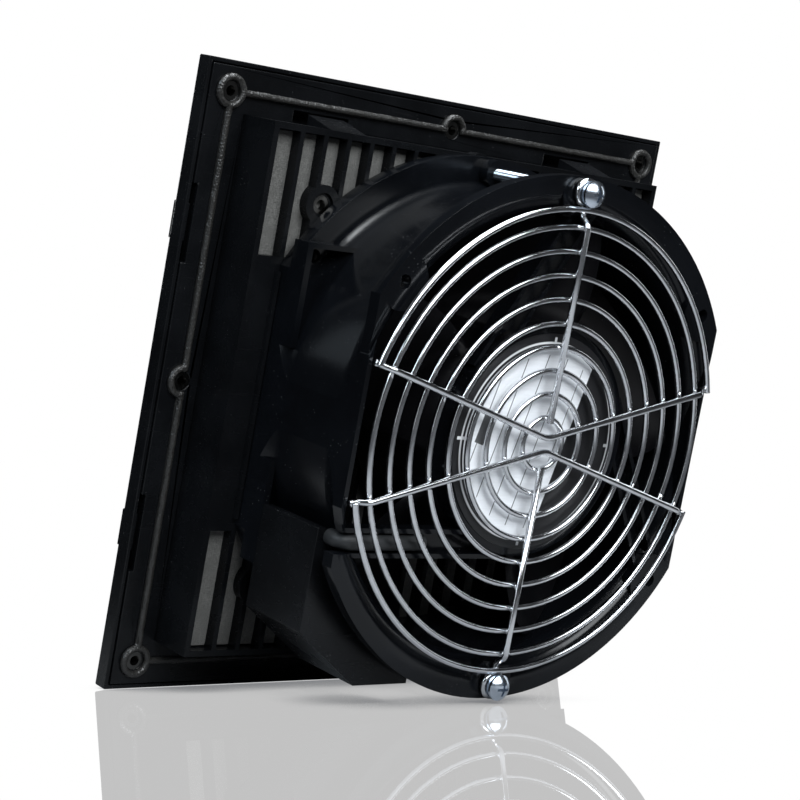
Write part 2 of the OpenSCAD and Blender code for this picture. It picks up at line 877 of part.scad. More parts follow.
// Bent wire that starts along X; each step is a straight length, a bend radius and a bend angle about Z
module wire_run(steps, r, i = 0) {
  if (i < len(steps)) {
    straight = steps[i][0];
    bend = steps[i][1];
    turn = steps[i][2];
    side = sign(turn);
    rotate([0, 90, 0]) cylinder(r = r, h = straight);
    if (turn != 0) {
      translate([straight, side * bend, 0]) {
        rotate([0, 0, side > 0 ? -90 : 90 + turn]) {
          rotate_extrude(angle = abs(turn)) translate([bend, 0]) circle(r);
        }
        rotate([0, 0, turn]) translate([0, -side * bend, 0]) wire_run(steps, r, i + 1);
      }
    }
  }
}

// One arm wire that crosses the guard from side to side, with its ends stepped down to the flange
module cross_arm() {
  middle = [0, arm_plane, arm_apex + apex_bend];
  knee = arm_reach(last_ring);
  tail = arm_reach(arc_radius) + 0.6 - knee - knee_run;
  translate(middle) rotate([90, 0, 0]) rotate([0, 0, -90 - arm_angle]) {
    rotate_extrude(angle = 2 * arm_angle) translate([apex_bend, 0]) circle(arm_radius);
  }
  for (sx = [0, 1]) {
    mirror([sx, 0, 0]) translate(middle) rotate([0, -arm_angle, 0]) translate([0, 0, -apex_bend]) {
      wire_run([[knee, knee_bend, -knee_angle], [knee_slope, knee_bend, knee_angle],
        [tail, 0, 0]], arm_radius);
    }
  }
}

// One upright arm wire that ends in an eye for the fixing screw
module eye_arm() {
  start = first_ring - 1.4;
  eye_reach = lug_radius - eye_radius - knee_at - knee_run;
  translate([0, arm_plane, start]) rotate([0, -90, 0]) {
    wire_run([[knee_at - start, knee_bend, -knee_angle], [knee_slope, knee_bend, knee_angle],
      [eye_reach, 0, 0]], arm_radius);
  }
  translate([0, eye_plane, lug_radius]) turned() translate([eye_radius, 0]) circle(eye_wire);
}

// Welded wire finger guard
module finger_guard() {
  color([0.85, 0.86, 0.87]) {
    for (k = [0 : ring_count - 1]) {
      turned() translate([first_ring + k * ring_pitch, guard_plane]) circle(wire_radius);
    }
    above_below() {
      translate([0, arc_plane, 0]) rotate([0, -arc_start, 0]) rotate([90, 0, 0]) {
        rotate_extrude(angle = 180 - 2 * arc_start) translate([arc_radius, 0]) circle(wire_radius);
      }
      cross_arm();
      eye_arm();
    }
  }
}

// Flat washers under the guard screws
module flat_washers() {
  color([0.75, 0.78, 0.82]) above_below() translate([0, 0, lug_radius]) turned() {
    translate([screw_radius + 0.15, washer_seat]) square([1.95, washer_thick]);
  }
}

// Split spring washers under the screw heads
module spring_washers() {
  color([0.7, 0.73, 0.78]) above_below() difference() {
    translate([0, 0, lug_radius]) turned() translate([screw_radius + 0.1, washer_seat + washer_thick]) {
      square([1.5, spring_thick]);
    }
    block(-0.3, 0.3, washer_seat, head_seat + 1, lug_radius, lug_radius + 6);
  }
}

// Long pan-head screws that hold guard and fan to the base
module guard_screws() {
  color([0.75, 0.79, 0.85]) above_below() translate([0, 0, lug_radius]) difference() {
    union() {
      rod_y(screw_radius, bar_back, head_seat + 0.5);
      turned() intersection() {
        translate([0, head_seat]) square([4.3, 2.9]);
        translate([0, head_seat - 2.6]) circle(5.5);
      }
    }
    block(-2.3, 2.3, head_seat + 1.1, head_seat + 4, -0.45, 0.45);
    block(-0.45, 0.45, head_seat + 1.1, head_seat + 4, -2.3, 2.3);
  }
}

front_cover();
base_frame();
filter_box();
filter_mat();
panel_gasket();
panel_inserts();
corner_inserts();
fan_inserts();
front_flange();
fan_housing();
rear_flange();
motor_mount();
impeller();
rotor_cup();
motor_shaft();
ball_bearings();
thrust_washer();
retaining_ring();
stator_core();
stator_windings();
motor_label();
lead_sleeve();
terminal_box();
terminal_lid();
terminal_block();
terminal_screws();
box_screw();
cable_grommet();
finger_guard();
flat_washers();
spring_washers();
guard_screws();
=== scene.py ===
"""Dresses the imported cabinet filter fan: finishes, a fleece mat, a sealing bead and a white stage."""

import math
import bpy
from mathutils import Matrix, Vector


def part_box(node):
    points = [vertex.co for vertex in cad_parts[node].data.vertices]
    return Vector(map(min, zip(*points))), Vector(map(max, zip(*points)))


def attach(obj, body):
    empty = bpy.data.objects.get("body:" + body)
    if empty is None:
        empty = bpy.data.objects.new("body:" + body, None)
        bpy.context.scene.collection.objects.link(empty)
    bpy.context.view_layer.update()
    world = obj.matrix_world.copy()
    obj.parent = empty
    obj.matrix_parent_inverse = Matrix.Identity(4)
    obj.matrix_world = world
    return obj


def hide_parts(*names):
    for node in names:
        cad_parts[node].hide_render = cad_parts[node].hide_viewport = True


bl_info = {
    "name": "Cabinet filter fan",
    "version": (1, 0, 0),
    "blender": (4, 5, 0),
    "location": "3D View > Sidebar > Filter fan",
    "description": "Finishes and soft pieces of a cabinet filter fan around its packed frame",
    "category": "Object",
}

import bmesh
import bpy
from bpy.props import FloatProperty, FloatVectorProperty, PointerProperty
from mathutils import Matrix, Vector, noise

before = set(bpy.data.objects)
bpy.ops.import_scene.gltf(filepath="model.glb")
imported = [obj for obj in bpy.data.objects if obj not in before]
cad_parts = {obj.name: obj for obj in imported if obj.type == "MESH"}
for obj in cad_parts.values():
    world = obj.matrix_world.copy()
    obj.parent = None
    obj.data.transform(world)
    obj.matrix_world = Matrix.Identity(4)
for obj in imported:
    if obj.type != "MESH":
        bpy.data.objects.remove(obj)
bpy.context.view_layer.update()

MM = 0.001
FIXED = "plate_and_fan"
ROTOR = "rotor"

# Vertices closer than this are one
SAME_POINT = 1e-6

# Pitch of the grille bars that the mat swells between
BAR_PITCH = 9.35 * MM
MAT_COLUMNS = 168
MAT_ROWS = 84
# Lengths over which the swell dies out towards the mat's sides and ends
MAT_SIDE_FADE = 10 * MM
MAT_END_FADE = 6 * MM
MAT_UNEVEN = 0.4 * MM

# Spacing of the cuts that give the bead's wobble its vertices
BEAD_STEP = 2.0 * MM

# Pitch of the M4 thread, in millimetres as finishes count
THREAD_PITCH = 0.7

# Lower back edge of the plate, and the run and rise from there to the lower guard screw.
# The floor lies under both
PLATE_EDGE = (0, -0.4 * MM, -102.05 * MM)
FLOOR_RUN = 75.9
FLOOR_RISE = 16.4
FLOOR_HALF = 6.0

COOL = (0.93, 0.97, 1.0)
BLUE = (0.78, 0.90, 1.0)
FILL = (0.02, 0.0205, 0.022)
# Name, place, point aimed at, width and height, power and colour of each lamp
LAMPS = (
    ("Fan soft box", (0.15, 0.85, 0.80), (0, 0.03, 0), (1.2, 0.7), 26.0, COOL),
    ("Top strip", (0.0, -0.10, 0.95), (0, 0.02, 0), (0.9, 0.16), 13.0, COOL),
    ("Back panel", (0.66, -0.85, 0.36), (0, 0.03, 0), (0.6, 0.3), 0.4, BLUE),
    ("Left panel", (0.95, 0.05, 0.50), (0, 0.03, 0), (0.5, 0.4), 5.0, BLUE),
    ("Cover soft box", (-0.15, -1.40, 0.12), (0, 0, 0), (0.6, 0.5), 5.0, COOL),
    ("Right strip", (-1.00, 0.15, 0.25), (0, 0.05, 0), (0.15, 0.7), 0.8, COOL),
    ("Left strip", (0.95, 0.25, 0.20), (0, 0.05, 0), (0.12, 0.7), 0.4, COOL),
)


def colour_property(name, description, default):
    """A colour that the user may change."""
    return FloatVectorProperty(
        name=name, description=description, subtype="COLOR", size=3, min=0, max=1, default=default
    )


def length_property(name, description, default):
    """A length in metres that the user may change."""
    return FloatProperty(
        name=name,
        description=description,
        default=default,
        min=0,
        precision=5,
        subtype="DISTANCE",
        unit="LENGTH",
    )


class PlateLook(bpy.types.PropertyGroup):
    """Looks of the plate, its mat and its sealing bead"""

    plastic: colour_property("Plastic", "Moulded plastic of the plate and cover", (0.0028, 0.0031, 0.0037))
    plastic_edge: length_property("Edge rounding", "Rounding of the moulded edges", 0.0003)
    box_edge: length_property("Terminal box rounding", "Rounding of the terminal box's edges", 0.0009)
    fleece: colour_property("Fleece", "Filter mat", (0.100, 0.099, 0.094))
    fleece_bulge: length_property("Fleece bulge", "How far the mat swells between the grille bars", 0.0009)
    foam: colour_property("Foam bead", "Foamed sealing bead", (0.0060, 0.0058, 0.0055))
    foam_wobble: length_property("Bead wobble", "Unevenness of the foamed bead", 0.00016)


class FanLook(bpy.types.PropertyGroup):
    """Looks of the fan frame, impeller and motor"""

    paint: colour_property("Paint", "Black paint of the die-cast frame", (0.0022, 0.0026, 0.0034))
    cast_edge: length_property("Cast edge rounding", "Rounding of the cast edges", 0.0005)
    blades: colour_property("Blades", "Impeller plastic", (0.0022, 0.0022, 0.0027))
    label_silver: colour_property("Label foil", "Silver field of the blank label", (0.80, 0.82, 0.85))
    sleeve: colour_property("Lead sleeve", "Insulating sleeve of the motor leads", (0.016, 0.017, 0.018))


class GuardLook(bpy.types.PropertyGroup):
    """Looks of the finger guard and the fasteners"""

    chrome: colour_property("Chrome", "Plated guard wire", (0.64, 0.65, 0.67))
    zinc: colour_property("Zinc", "Plated screws and washers", (0.56, 0.62, 0.70))
    # The inserts' colour is darkened to paint the shade of the holes they sit in.
    insert: colour_property("Insert", "Threaded inserts", (0.10, 0.098, 0.094))


class StageLook(bpy.types.PropertyGroup):
    """Camera, floor and lamps"""

    lens: FloatProperty(name="Lens", description="Focal length", default=94.376, min=1, unit="CAMERA")
    camera_place: FloatVectorProperty(
        name="Camera place",
        description="Where the camera stands",
        subtype="XYZ",
        unit="LENGTH",
        default=(0.4701, 0.54294, 0.09497),
    )
    camera_turn: FloatVectorProperty(
        name="Camera turn",
        description="How the camera is turned",
        subtype="EULER",
        unit="ROTATION",
        default=(math.radians(82.22), math.radians(-10.298), math.radians(140.58)),
    )
    floor_gloss: FloatProperty(
        name="Floor gloss",
        description="Share of the floor that mirrors",
        default=0.46,
        min=0,
        max=1,
        subtype="FACTOR",
    )
    lamp_power: FloatProperty(
        name="Lamp power", description="Brightness of all lamps together", default=1.0, min=0, max=10
    )


class FanSettings(bpy.types.PropertyGroup):
    """Everything a user may change"""

    plate: PointerProperty(type=PlateLook)
    fan: PointerProperty(type=FanLook)
    guard: PointerProperty(type=GuardLook)
    stage: PointerProperty(type=StageLook)


class Field:
    """A node's output, so that a finish is written as sums and products."""

    def __init__(self, nodes, socket):
        self.nodes = nodes
        self.socket = socket

    def _math(self, operation, *values):
        return self.nodes.node("ShaderNodeMath", {"operation": operation}, dict(enumerate(values)))

    def __add__(self, other):
        return self._math("ADD", self, other)

    def __radd__(self, other):
        return self._math("ADD", other, self)

    def __sub__(self, other):
        return self._math("SUBTRACT", self, other)

    def __rsub__(self, other):
        return self._math("SUBTRACT", other, self)

    def __mul__(self, other):
        return self._math("MULTIPLY", self, other)

    def __rmul__(self, other):
        return self._math("MULTIPLY", other, self)

    def __pow__(self, other):
        return self._math("POWER", self, other)

    def __abs__(self):
        return self._math("ABSOLUTE", self)

    def most(self, other):
        return self._math("MAXIMUM", self, other)

    def wrapped(self, length):
        """Distance to the nearest whole multiple of a length."""
        return abs(self._math("WRAP", self, length / 2, -length / 2))

    def step(self, low, high):
        """0 below low, 1 above high and smooth between."""
        return self.nodes.node(
            "ShaderNodeMapRange",
            {"interpolation_type": "SMOOTHSTEP"},
            {0: self, 1: low, 2: high, 3: 0.0, 4: 1.0},
        )

    def below(self, low, high):
        """1 below low, 0 above high and smooth between."""
        return 1.0 - self.step(low, high)


class Nodes:
    """Nodes of a material or the world; node() adds any node and hands back one of its outputs."""

    def __init__(self, owner, output):
        owner.use_nodes = True
        self.tree = owner.node_tree
        self.tree.nodes.clear()
        self.output = self.tree.nodes.new(output)

    def node(self, kind, settings=None, sockets=None, output=0):
        made = self.tree.nodes.new(kind)
        for key, value in (settings or {}).items():
            setattr(made, key, value)
        for key, value in (sockets or {}).items():
            if isinstance(value, Field):
                self.tree.links.new(value.socket, made.inputs[key])
            else:
                made.inputs[key].default_value = value
        return Field(self, made.outputs[output])

    def ray(self, kind):
        """1 for rays of one kind and 0 for others."""
        return self.node("ShaderNodeLightPath", output=kind)

    def blend(self, factor, first, second):
        """Shader between two shaders."""
        return self.node("ShaderNodeMixShader", None, {0: factor, 1: first, 2: second})

    def close(self, shader):
        """Ends the nodes with a shader."""
        self.tree.links.new(shader.socket, self.output.inputs["Surface"])


class Finish(Nodes):
    """Builds one material from patterns on object coordinates."""

    def __init__(self, name):
        self.material = bpy.data.materials.new(name)
        super().__init__(self.material, "ShaderNodeOutputMaterial")
        self.place = self.node("ShaderNodeTexCoord", output="Object")

    def axes(self):
        """The three coordinates of a point, in millimetres."""
        parted = [self.node("ShaderNodeSeparateXYZ", None, {0: self.place}, i) for i in range(3)]
        return [part * 1000.0 for part in parted]

    def stretched(self, scale, turn=(0, 0, 0)):
        """Object coordinates with their own scale along each axis."""
        return self.node("ShaderNodeMapping", None, {"Vector": self.place, "Scale": scale, "Rotation": turn})

    def grain(self, scale, detail=3.0, roughness=0.55, vector=None):
        """Cloudy noise between 0 and 1."""
        return self.node(
            "ShaderNodeTexNoise",
            None,
            {"Vector": vector or self.place, "Scale": scale, "Detail": detail, "Roughness": roughness},
        )

    def cells(self, scale):
        """Distance to the nearest of scattered points."""
        return self.node("ShaderNodeTexVoronoi", None, {"Vector": self.place, "Scale": scale})

    def mix(self, factor, first, second):
        """Colour between two colours."""
        first, second = (c if isinstance(c, Field) else (*c[:3], 1.0) for c in (first, second))
        return self.node("ShaderNodeMix", {"data_type": "RGBA"}, {0: factor, 6: first, 7: second}, 2)

    def bump(self, height, distance, strength):
        """Normal from a height field."""
        return self.node("ShaderNodeBump", None, {"Strength": strength, "Distance": distance, "Height": height})

    def surface(self, colour, roughness, normal, **constants):
        """Closes the finish with one principled surface and returns the material."""
        sockets = {"Base Color": colour, "Roughness": roughness, "Normal": normal}
        for key, value in constants.items():
            sockets[key.replace("_", " ")] = value
        self.close(self.node("ShaderNodeBsdfPrincipled", None, sockets))
        return self.material


def shade(colour, factor):
    """A colour made lighter or darker."""
    return tuple(min(1.0, c * factor) for c in colour)


def settings():
    return bpy.context.scene.filter_fan


def dress(material, *nodes):
    """Gives CAD nodes a finish."""
    for name in nodes:
        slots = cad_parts[name].data.materials
        slots.clear()
        slots.append(material)


def round_edges(width, angle, *nodes):
    """Rounds the sharp edges of CAD nodes with live modifiers; the nodes' own meshes stay as they are."""
    for name in nodes:
        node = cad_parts[name]
        weld = node.modifiers.new("Weld", "WELD")
        weld.merge_threshold = SAME_POINT
        bevel = node.modifiers.new("Rounded edges", "BEVEL")
        bevel.width = width
        bevel.segments = 2
        bevel.limit_method = "ANGLE"
        bevel.angle_limit = angle
        bevel.harden_normals = False
        bevel.use_clamp_overlap = True


def new_mesh(name, bm, material):
    """Turns a bmesh into an object with one finish."""
    mesh = bpy.data.meshes.new(name)
    bm.to_mesh(mesh)
    bm.free()
    mesh.materials.append(material)
    made = bpy.data.objects.new(name, mesh)
    bpy.context.scene.collection.objects.link(made)
    return made


def new_piece(name, bm, material, body, smooth_angle):
    """Turns a bmesh into a smooth piece that rides on a body."""
    piece = new_mesh(name, bm, material)
    piece.data.shade_smooth()
    piece.data.set_sharp_from_angle(angle=smooth_angle)
    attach(piece, body)
    return piece


def node_copy(name):
    """A merged copy of a CAD node's mesh, in the row frame."""
    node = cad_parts[name]
    bm = bmesh.new()
    bm.from_mesh(node.data)
    bmesh.ops.transform(bm, matrix=node.matrix_world, verts=bm.verts)
    bmesh.ops.remove_doubles(bm, verts=bm.verts, dist=SAME_POINT)
    bmesh.ops.dissolve_degenerate(bm, dist=SAME_POINT / 10, edges=bm.edges)
    return bm


def moulded_plastic(name, colour, roughness, specular):
    """Satin moulded plastic with fine grain, faint flow marks, scuffs and a little dust."""
    finish = Finish(name)
    flow = finish.grain(45.0, 4.0)
    fine = finish.grain(5200.0, 2.0)
    streaks = finish.stretched((60.0, 420.0, 900.0), (0.3, 0.2, 0.5))
    scuff = finish.grain(1.0, 3.0, 0.6, streaks).step(0.62, 0.74)
    speck = finish.cells(900.0).below(0.05, 0.12) * finish.grain(120.0).step(0.56, 0.66)
    tone = finish.mix(flow.step(0.3, 0.7), shade(colour, 0.75), shade(colour, 1.35))
    dusty = finish.mix(speck * 0.55, tone, (0.20, 0.20, 0.205))
    rough = roughness + (flow - 0.5) * 0.16 + scuff * 0.10 + speck * 0.2
    normal = finish.bump(fine + scuff * 0.6, 0.00004, 0.55)
    return finish.surface(dusty, rough, normal, Specular_IOR_Level=specular)


def cast_paint(name, colour):
    """Semi-gloss black paint on a die casting: orange peel, dust specks and a cool sheen."""
    finish = Finish(name)
    peel = finish.grain(620.0, 2.0, 0.45)
    cloud = finish.grain(38.0, 4.0)
    speck = finish.cells(760.0).below(0.045, 0.10) * finish.grain(95.0, 3.0).step(0.50, 0.64)
    tone = finish.mix(cloud.step(0.3, 0.7), shade(colour, 0.8), shade(colour, 1.4))
    dusty = finish.mix(speck * 0.6, tone, (0.22, 0.225, 0.23))
    rough = 0.18 + (cloud - 0.5) * 0.08 + speck * 0.25
    return finish.surface(dusty, rough, finish.bump(peel, 0.00005, 0.25), Specular_IOR_Level=0.23)


def bright_metal(name, colour, roughness, brush, streak=(500.0, 500.0, 500.0), grooves=0.25):
    """Plated or turned metal with a fine brushed or clouded roughness."""
    finish = Finish(name)
    cloud = finish.grain(240.0, 3.0)
    lines = finish.grain(1.0, 2.0, 0.5, finish.stretched(streak))
    tone = finish.mix(cloud.step(0.25, 0.75), shade(colour, 0.86), shade(colour, 1.06))
    rough = roughness + (cloud - 0.5) * 0.12 + (lines - 0.5) * brush
    return finish.surface(tone, rough, finish.bump(lines, 0.00003, grooves), Metallic=1.0)


def threaded_metal(name, colour, roughness, start, end):
    """Plated metal with a fine rolled thread between two depths along the fan's axis, in millimetres, with
    painted shade in darker bands along the thread's turns.
    """
    finish = Finish(name)
    _, y, _ = finish.axes()
    ridge = y.wrapped(THREAD_PITCH) * (2.0 / THREAD_PITCH)
    thread = ridge * y.step(start, start + 0.2) * y.below(end, end + 0.2)
    cloud = finish.grain(240.0, 3.0)
    tone = finish.mix(cloud.step(0.25, 0.75), shade(colour, 0.84), shade(colour, 1.08))
    # Painted shade: the colour darkens in bands along the thread's turns.
    painted_thread_shade = finish.mix(thread * 0.6, tone, shade(colour, 0.45))
    rough = roughness + (cloud - 0.5) * 0.12
    return finish.surface(painted_thread_shade, rough, finish.bump(thread + cloud * 0.05, 0.0002, 0.8), Metallic=1.0)


def fleece(name, colour):
    """Needled fibre mat: tangled strands of light and dark grey."""
    finish = Finish(name)
    strand = finish.grain(1.0, 5.0, 0.7, finish.stretched((2600.0, 900.0, 700.0), (0.4, 0.2, 0.7)))
    cross = finish.grain(1.0, 5.0, 0.7, finish.stretched((700.0, 900.0, 2600.0), (0.2, 0.5, 0.3)))
    tuft = finish.grain(160.0, 4.0)
    fibre = (strand + cross) * 0.5
    tone = finish.mix(fibre.step(0.35, 0.66), shade(colour, 0.55), shade(colour, 1.3))
    dirty = finish.mix(tuft.step(0.35, 0.75), tone, shade(colour, 0.8))
    normal = finish.bump(fibre + tuft * 0.5, 0.0006, 0.9)
    return finish.surface(dirty, 0.95, normal, Specular_IOR_Level=0.15, Sheen_Weight=0.15)


def foam(name, colour):
    """Foamed bead with an open, grainy skin."""
    finish = Finish(name)
    cell = finish.cells(1500.0)
    lump = finish.grain(300.0, 4.0)
    tone = finish.mix((cell * 1.6 + lump * 0.5).step(0.35, 0.95), shade(colour, 0.5), shade(colour, 2.6))
    rough = 0.32 + (lump - 0.5) * 0.2
    return finish.surface(tone, rough, finish.bump(cell + lump, 0.00025, 0.7), Specular_IOR_Level=0.4)


def label_print(name, silver):
    """Blank label: silver foil with thin rules, a black field on one side, and a white ring with four ticks."""
    finish = Finish(name)
    x, _, z = finish.axes()
    radius = (x * x + z * z) ** 0.5
    turn = math.radians(14)
    along = x * math.cos(turn) + z * math.sin(turn)
    across = z * math.cos(turn) - x * math.sin(turn)
    brush = finish.grain(1.0, 2.0, 0.5, finish.stretched((120.0, 900.0, 2400.0)))
    cloud = finish.grain(70.0, 3.0)
    foil = finish.mix(brush * 0.6 + cloud * 0.4, shade(silver, 0.82), shade(silver, 1.1))
    inside = radius.below(31.0, 31.3)
    dark_side = along.below(-12.2, -11.9)
    ruled = radius.below(28.4, 28.7) * along.step(-8.5, -8.2)
    rules = along.wrapped(8.2).below(0.12, 0.24).most(abs(across - 3.0).below(0.12, 0.24)) * ruled
    badge = abs(along - 23.0).below(2.6, 2.8) * abs(across + 2.0).below(5.4, 5.6)
    ring = radius.step(32.0, 32.2) * radius.below(32.7, 32.9)
    cross = abs(x).below(0.45, 0.6).most(abs(z).below(0.45, 0.6))
    ticks = cross * radius.step(30.6, 30.8) * radius.below(34.2, 34.4)
    black = (0.008, 0.008, 0.009)
    field = finish.mix(dark_side, finish.mix(rules.most(badge) * 0.9, foil, black), black)
    shown = finish.mix(inside, black, field)
    marked = finish.mix(ring.most(ticks), shown, (0.55, 0.56, 0.57))
    silver_part = inside * (1.0 - dark_side)
    rough = 0.42 - silver_part * 0.1 + (cloud - 0.5) * 0.1
    normal = finish.bump(cloud + brush * 0.3, 0.00005, 0.3)
    return finish.surface(marked, rough, normal, Metallic=silver_part * 0.2, Specular_IOR_Level=0.4)


def wound_copper(name):
    """Enamelled copper wire laid round the stator."""
    finish = Finish(name)
    _, y, _ = finish.axes()
    turns = y.wrapped(0.55) * 3.6
    cloud = finish.grain(180.0)
    tone = finish.mix(cloud, (0.30, 0.10, 0.035), (0.55, 0.22, 0.09))
    return finish.surface(tone, 0.35 + (cloud - 0.5) * 0.2, finish.bump(turns, 0.0002, 0.6), Metallic=0.6)


def stacked_steel(name):
    """Edges of stacked stator sheets."""
    finish = Finish(name)
    _, y, _ = finish.axes()
    sheet = y.wrapped(0.5).step(0.02, 0.09)
    cloud = finish.grain(200.0)
    tone = finish.mix(sheet, (0.07, 0.07, 0.075), (0.34, 0.35, 0.37))
    return finish.surface(tone, 0.45 + (cloud - 0.5) * 0.2, finish.bump(sheet, 0.0001, 0.6), Metallic=0.85)


def white_floor(gloss):
    """Floor that stays white to the camera, mirrors the object and has a painted contact shadow where the
    object meets it.
    """
    finish = Finish("White floor")
    seen = finish.ray("Is Camera Ray").most(finish.ray("Is Transmission Ray"))
    x, y, _ = finish.axes()
    table = ((x * x + y * y) ** 0.5).below(180.0, 330.0)
    # Painted contact shadow: ambient occlusion darkens the floor's white emission near the object.
    painted_shadow_occlusion = finish.node("ShaderNodeAmbientOcclusion", {"samples": 8}, {"Distance": 0.02}, "AO")
    painted_contact_shadow = finish.mix(painted_shadow_occlusion.step(0.0, 0.85), (0.30, 0.31, 0.33), (1, 1, 1))
    white = finish.node("ShaderNodeEmission", None, {"Color": painted_contact_shadow, "Strength": 1.0})
    bounce = finish.mix(table, (0.05, 0.05, 0.052), (0.30, 0.303, 0.31))
    soft = finish.node("ShaderNodeBsdfDiffuse", None, {"Color": bounce})
    mirror = finish.node("ShaderNodeBsdfGlossy", None, {"Color": (1, 1, 1, 1), "Roughness": 0.0})
    finish.close(finish.blend(seen * gloss, finish.blend(seen, soft, white), mirror))
    return finish.material


class FILTERFAN_OT_plate(bpy.types.Operator):
    """Finish the plate, the cover and the terminal box"""

    bl_idname = "filterfan.plate"
    bl_label = "Plate and cover"

    def execute(self, context):
        look = settings().plate
        plastic = moulded_plastic("Moulded plastic", look.plastic, 0.26, 0.20)
        dress(plastic, "front_cover", "base_frame", "filter_box", "terminal_box", "terminal_lid")
        round_edges(look.plastic_edge, math.radians(40), "front_cover", "base_frame")
        round_edges(look.box_edge, math.radians(40), "terminal_box", "terminal_lid")
        return {"FINISHED"}


class FILTERFAN_OT_fleece(bpy.types.Operator):
    """Make the fleece mat that swells between the grille bars"""

    bl_idname = "filterfan.fleece"
    bl_label = "Fleece mat"

    def execute(self, context):
        look = settings().plate
        low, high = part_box("filter_mat")
        middle, size = (low + high) / 2, high - low
        bm = bmesh.new()
        bmesh.ops.create_grid(bm, x_segments=MAT_COLUMNS, y_segments=MAT_ROWS, size=0.5)
        stand = Matrix.Rotation(math.radians(-90), 4, "X")
        bmesh.ops.transform(bm, matrix=Matrix.Diagonal((size.x, size.z, 1, 1)), verts=bm.verts)
        place = Matrix.Translation((middle.x, low.y, middle.z))
        bmesh.ops.transform(bm, matrix=place @ stand, verts=bm.verts)
        grown = bmesh.ops.extrude_face_region(bm, geom=list(bm.faces))
        back = [v for v in grown["geom"] if isinstance(v, bmesh.types.BMVert)]
        bmesh.ops.translate(bm, vec=(0, size.y, 0), verts=back)
        for v in back:
            slot = 0.5 - 0.5 * math.cos(2 * math.pi * v.co.x / BAR_PITCH)
            to_side = (size.x / 2 - abs(v.co.x)) / MAT_SIDE_FADE
            to_end = (size.z / 2 - abs(v.co.z)) / MAT_END_FADE
            lump = 0.7 + 0.5 * noise.noise(v.co * 140)
            v.co.y += look.fleece_bulge * slot ** 0.7 * lump * max(0, min(1, to_side, to_end))
        for v in bm.verts:
            if v not in back:
                v.co.y += MAT_UNEVEN * noise.noise(v.co * 90)
        bmesh.ops.recalc_face_normals(bm, faces=bm.faces)
        mat = new_piece("fleece_mat", bm, fleece("Filter fleece", look.fleece), FIXED, math.radians(50))
        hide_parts("filter_mat")
        return {"FINISHED"}


class FILTERFAN_OT_bead(bpy.types.Operator):
    """Make the uneven foamed sealing bead"""

    bl_idname = "filterfan.bead"
    bl_label = "Sealing bead"

    def execute(self, context):
        look = settings().plate
        bm = node_copy("panel_gasket")
        low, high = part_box("panel_gasket")
        for axis in (0, 2):
            direction = Vector((axis == 0, 0, axis == 2))
            place = low[axis] + BEAD_STEP
            while place < high[axis] - BEAD_STEP / 2:
                bmesh.ops.bisect_plane(
                    bm,
                    geom=[*bm.verts, *bm.edges, *bm.faces],
                    dist=SAME_POINT / 10,
                    plane_co=direction * place,
                    plane_no=direction,
                )
                place += BEAD_STEP
        bm.normal_update()
        for v in bm.verts:
            if v.co.y > low.y + 0.01 * MM:
                ripple = noise.noise(v.co * 420) + 0.6 * noise.noise(v.co * 1100)
                v.co += v.normal * (look.foam_wobble * ripple)
        bead = new_piece("sealing_bead", bm, foam("Foamed bead", look.foam), FIXED, math.radians(60))
        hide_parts("panel_gasket")
        return {"FINISHED"}


class FILTERFAN_OT_fan_frame(bpy.types.Operator):
    """Finish the die-cast fan frame and the lead sleeve"""

    bl_idname = "filterfan.fan_frame"
    bl_label = "Fan frame"

    def execute(self, context):
        look = settings().fan
        paint = cast_paint("Cast frame paint", look.paint)
        dress(paint, "front_flange", "fan_housing", "rear_flange", "motor_mount")
        round_edges(look.cast_edge, math.radians(35), "front_flange", "rear_flange", "motor_mount")
        dress(moulded_plastic("Lead sleeve", look.sleeve, 0.45, 0.25), "lead_sleeve")
        return {"FINISHED"}


class FILTERFAN_OT_impeller(bpy.types.Operator):
    """Make the smooth impeller"""

    bl_idname = "filterfan.impeller"
    bl_label = "Impeller"

    def execute(self, context):
        plastic = moulded_plastic("Impeller plastic", settings().fan.blades, 0.42, 0.06)
        wheel = new_piece("impeller_wheel", node_copy("impeller"), plastic, ROTOR, math.radians(38))
        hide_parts("impeller")
        return {"FINISHED"}


class FILTERFAN_OT_motor(bpy.types.Operator):
    """Finish the motor's label and inner parts"""

    bl_idname = "filterfan.motor"
    bl_label = "Motor"

    def execute(self, context):
        dress(label_print("Blank motor label", settings().fan.label_silver), "motor_label")
        steel = bright_metal("Turned steel", (0.50, 0.51, 0.53), 0.3, 0.1, (300.0, 2500.0, 300.0))
        dress(steel, "rotor_cup", "motor_shaft", "ball_bearings", "retaining_ring")
        dress(bright_metal("Washer brass", (0.60, 0.44, 0.18), 0.32, 0.08), "thrust_washer")
        dress(stacked_steel("Stator sheets"), "stator_core")
        dress(wound_copper("Stator winding"), "stator_windings")
        return {"FINISHED"}


class FILTERFAN_OT_guard(bpy.types.Operator):
    """Make the smooth chromed finger guard"""

    bl_idname = "filterfan.guard"
    bl_label = "Finger guard"

    def execute(self, context):
        chrome = bright_metal("Guard chrome", settings().guard.chrome, 0.16, 0.05, (60.0, 60.0, 60.0), 0.05)
        wires = new_piece("guard_wires", node_copy("finger_guard"), chrome, FIXED, math.radians(60))
        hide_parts("finger_guard")
        return {"FINISHED"}


